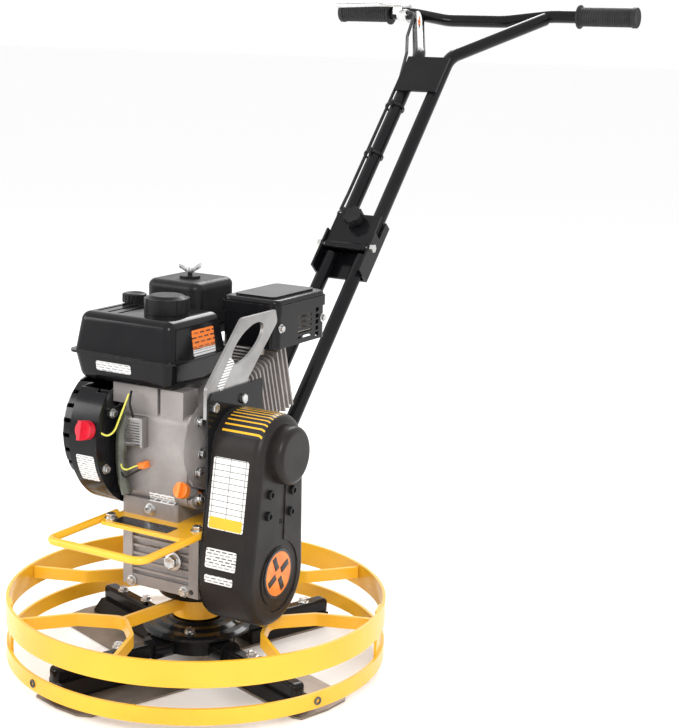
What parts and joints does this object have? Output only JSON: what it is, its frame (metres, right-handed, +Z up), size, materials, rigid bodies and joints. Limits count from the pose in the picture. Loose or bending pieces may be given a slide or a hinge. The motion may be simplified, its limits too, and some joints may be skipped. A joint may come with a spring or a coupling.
{
  "type": "walk-behind power trowel",
  "caption": "Petrol walk-behind power trowel: guard ring round a bladed rotor, worm gearbox, belt drive, engine and folding handle.",
  "frame": {"origin": "on the floor under the rotor axis, in the plane that the blades rest on", "axes": "+Z up along the rotor axis, +Y to the operator along the handle, +X to the belt guard"},
  "size_m": [0.652, 1.308, 1.0663],
  "materials": {
    "yellow_paint": "gloss powder coat",
    "gloss_black": "gloss enamel",
    "satin_brown_black": "satin powder coat",
    "cast_aluminium": "as cast",
    "blade_steel": "rolled spring steel",
    "bare_steel": "satin",
    "exhaust_steel": "heat stained",
    "zinc_steel": "zinc plated",
    "cast_iron": "machined and painted",
    "bronze": "cast bronze",
    "black_plastic": "moulded",
    "orange_plastic": "moulded",
    "red_plastic": "moulded",
    "black_rubber": "matt"
  },
  "bodies": {
    "chassis": {"gearbox_housing": "cast_aluminium", "output_flange": "gloss_black", "engine_plate": "yellow_paint", "carry_rail": "yellow_paint", "handle_foot": "gloss_black", "lower_tube_left": "gloss_black", "lower_tube_right": "gloss_black", "fold_channel": "gloss_black", "hinge_bolt": "zinc_steel", "lifting_bracket": "bare_steel", "belt_guard_back": "gloss_black", "belt_guard_cover": "satin_brown_black", "drive_belt": "black_rubber", "crankcase": "cast_aluminium", "crankcase_cover": "cast_aluminium", "engine_cylinder": "cast_aluminium", "cylinder_head": "cast_aluminium", "carburettor": "cast_aluminium", "air_cleaner": "black_plastic", "muffler": "exhaust_steel", "muffler_guard": "gloss_black", "fuel_tank": "gloss_black", "fan_housing": "gloss_black", "recoil_cover": "gloss_black", "wiring_loom": "black_rubber"},
    "rotor": {"output_shaft": "bare_steel", "worm_wheel": "bronze", "spider": "gloss_black", "pressure_plate": "gloss_black"},
    "arm_1": {"trowel_arm_1": "gloss_black", "blade_1": "blade_steel"},
    "arm_2": {"trowel_arm_2": "gloss_black", "blade_2": "blade_steel"},
    "arm_3": {"trowel_arm_3": "gloss_black", "blade_3": "blade_steel"},
    "arm_4": {"trowel_arm_4": "gloss_black", "blade_4": "blade_steel"},
    "worm": {"worm_shaft": "bare_steel", "driven_pulley": "cast_iron"},
    "crank": {"crankshaft": "bare_steel", "clutch_pulley": "cast_iron", "flywheel_fan": "cast_iron"},
    "guard": {"guard_ring": "yellow_paint", "guard_spokes": "yellow_paint"},
    "upper_handle": {"upper_tube_left": "gloss_black", "upper_tube_right": "gloss_black", "handlebar": "gloss_black", "control_plate": "gloss_black", "fold_plate": "gloss_black", "grip_left": "black_rubber", "grip_right": "black_rubber", "lever_clamp": "zinc_steel", "throttle_cable": "black_rubber"},
    "lock_knob": {"lock_knob": "black_plastic"},
    "hand_lever": {"hand_lever": "zinc_steel"},
    "fuel_cap": {"fuel_cap": "black_plastic"},
    "dipstick": {"dipstick": "orange_plastic"},
    "stop_switch": {"stop_switch": "red_plastic"},
    "recoil_grip": {"recoil_grip": "black_plastic"},
    "choke_lever": {"choke_lever": "black_plastic"}
  },
  "joints": [
    {"name": "rotor_spin", "type": "hinge", "parent": "chassis", "child": "rotor", "pos_m": [0, 0, 0.06], "axis": [0, 0, 1], "continuous": true},
    {"name": "worm_spin", "type": "hinge", "parent": "chassis", "child": "worm", "pos_m": [0, -0.063, 0.201], "axis": [1, 0, 0], "continuous": true},
    {"name": "crank_spin", "type": "hinge", "parent": "chassis", "child": "crank", "pos_m": [0, -0.052, 0.383], "axis": [1, 0, 0], "continuous": true},
    {"name": "guard_spin", "type": "hinge", "parent": "chassis", "child": "guard", "pos_m": [0, 0, 0.1], "axis": [0, 0, 1], "continuous": true},
    {"name": "blade_pitch_1", "type": "hinge", "parent": "rotor", "child": "arm_1", "pos_m": [0.06578, -0.02394, 0.036], "axis": [-0.9397, 0.342, 0], "range_deg": [0, 15]},
    {"name": "blade_pitch_2", "type": "hinge", "parent": "rotor", "child": "arm_2", "pos_m": [0.02394, 0.06578, 0.036], "axis": [-0.342, -0.9397, 0], "range_deg": [0, 15]},
    {"name": "blade_pitch_3", "type": "hinge", "parent": "rotor", "child": "arm_3", "pos_m": [-0.06578, 0.02394, 0.036], "axis": [0.9397, -0.342, 0], "range_deg": [0, 15]},
    {"name": "blade_pitch_4", "type": "hinge", "parent": "rotor", "child": "arm_4", "pos_m": [-0.02394, -0.06578, 0.036], "axis": [0.342, 0.9397, 0], "range_deg": [0, 15]},
    {"name": "handle_fold", "type": "hinge", "parent": "chassis", "child": "upper_handle", "pos_m": [0, 0.45449, 0.62966], "axis": [1, 0, 0], "range_deg": [0, 120]},
    {"name": "lock_knob_turn", "type": "hinge", "parent": "upper_handle", "child": "lock_knob", "pos_m": [0, 0.48846, 0.67039], "axis": [0, -0.7431, 0.6691], "range_deg": [0, 1080]},
    {"name": "lever_squeeze", "type": "hinge", "parent": "upper_handle", "child": "hand_lever", "pos_m": [-0.18, 0.95, 1.0553], "axis": [0, 0, -1], "range_deg": [0, 12], "stiffness_Nm_per_rad": 1.5, "springref_deg": -22.92},
    {"name": "fuel_cap_turn", "type": "hinge", "parent": "chassis", "child": "fuel_cap", "pos_m": [-0.03, -0.047, 0.58], "axis": [0, 0, 1], "range_deg": [0, 90]},
    {"name": "dipstick_pull", "type": "slide", "parent": "chassis", "child": "dipstick", "axis": [0, -0.9397, 0.342], "range_m": [0, 0.06]},
    {"name": "stop_switch_turn", "type": "hinge", "parent": "chassis", "child": "stop_switch", "pos_m": [-0.089, -0.16752, 0.40337], "axis": [0, -0.9848, 0.1736], "range_deg": [0, 60]},
    {"name": "recoil_pull", "type": "slide", "parent": "chassis", "child": "recoil_grip", "axis": [0, 1, 0], "range_m": [0, 0.1], "stiffness_N_per_m": 60, "springref_m": -0.2},
    {"name": "choke_turn", "type": "hinge", "parent": "chassis", "child": "choke_lever", "pos_m": [-0.12, 0.108, 0.498], "axis": [1, 0, 0], "range_deg": [0, 45]}
  ],
  "couplings": [
    {"joint": "worm_spin", "follows": "rotor_spin", "ratio": 20},
    {"joint": "crank_spin", "follows": "rotor_spin", "ratio": 28.9},
    {"joint": "blade_pitch_2", "follows": "blade_pitch_1", "ratio": 1},
    {"joint": "blade_pitch_3", "follows": "blade_pitch_1", "ratio": 1},
    {"joint": "blade_pitch_4", "follows": "blade_pitch_1", "ratio": 1}
  ]
}
